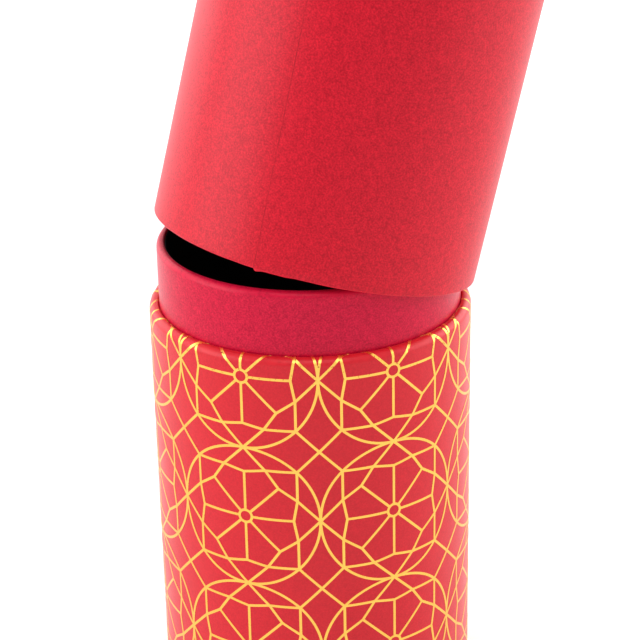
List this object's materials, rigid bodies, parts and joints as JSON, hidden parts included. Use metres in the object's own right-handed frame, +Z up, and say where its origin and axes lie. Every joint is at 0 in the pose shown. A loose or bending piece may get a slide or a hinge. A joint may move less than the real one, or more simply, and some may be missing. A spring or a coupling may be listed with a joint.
{
  "type": "cylindrical gift tube box",
  "caption": "Round rigid paper box: a foil-patterned red base with a crimson neck, lined in black, and a plain red slip lid that lifts off.",
  "frame": {"origin": "middle of the base's underside, on the surface that the box stands on", "axes": "+Z up along the base's own axis, +X the way the resting lid leans"},
  "size_m": [0.0976, 0.0766, 0.1997],
  "materials": {
    "grey_board": "bare convolute board, matt",
    "foil_printed_paper": "red coated paper, satin, with a lattice stamped in gold foil",
    "plain_red_paper": "soft uncoated red paper, matt",
    "crimson_paper": "crimson paper, satin",
    "black_paper": "black lining paper, matt"
  },
  "bodies": {
    "base": {"base_tube": "grey_board", "base_disc": "grey_board", "base_wrap": "foil_printed_paper", "base_cover": "plain_red_paper", "neck_tube": "grey_board", "neck_wrap": "crimson_paper", "base_lining": "black_paper", "base_floor_lining": "black_paper"},
    "lid": {"lid_tube": "grey_board", "lid_disc": "grey_board", "lid_wrap": "plain_red_paper", "lid_cover": "plain_red_paper", "lid_lining": "black_paper", "lid_ceiling_lining": "black_paper"}
  },
  "joints": [
    {"name": "lid_lift", "type": "slide", "parent": "base", "child": "lid", "axis": [0.2666, 0, 0.9638], "range_m": [0, 0.12]}
  ]
}
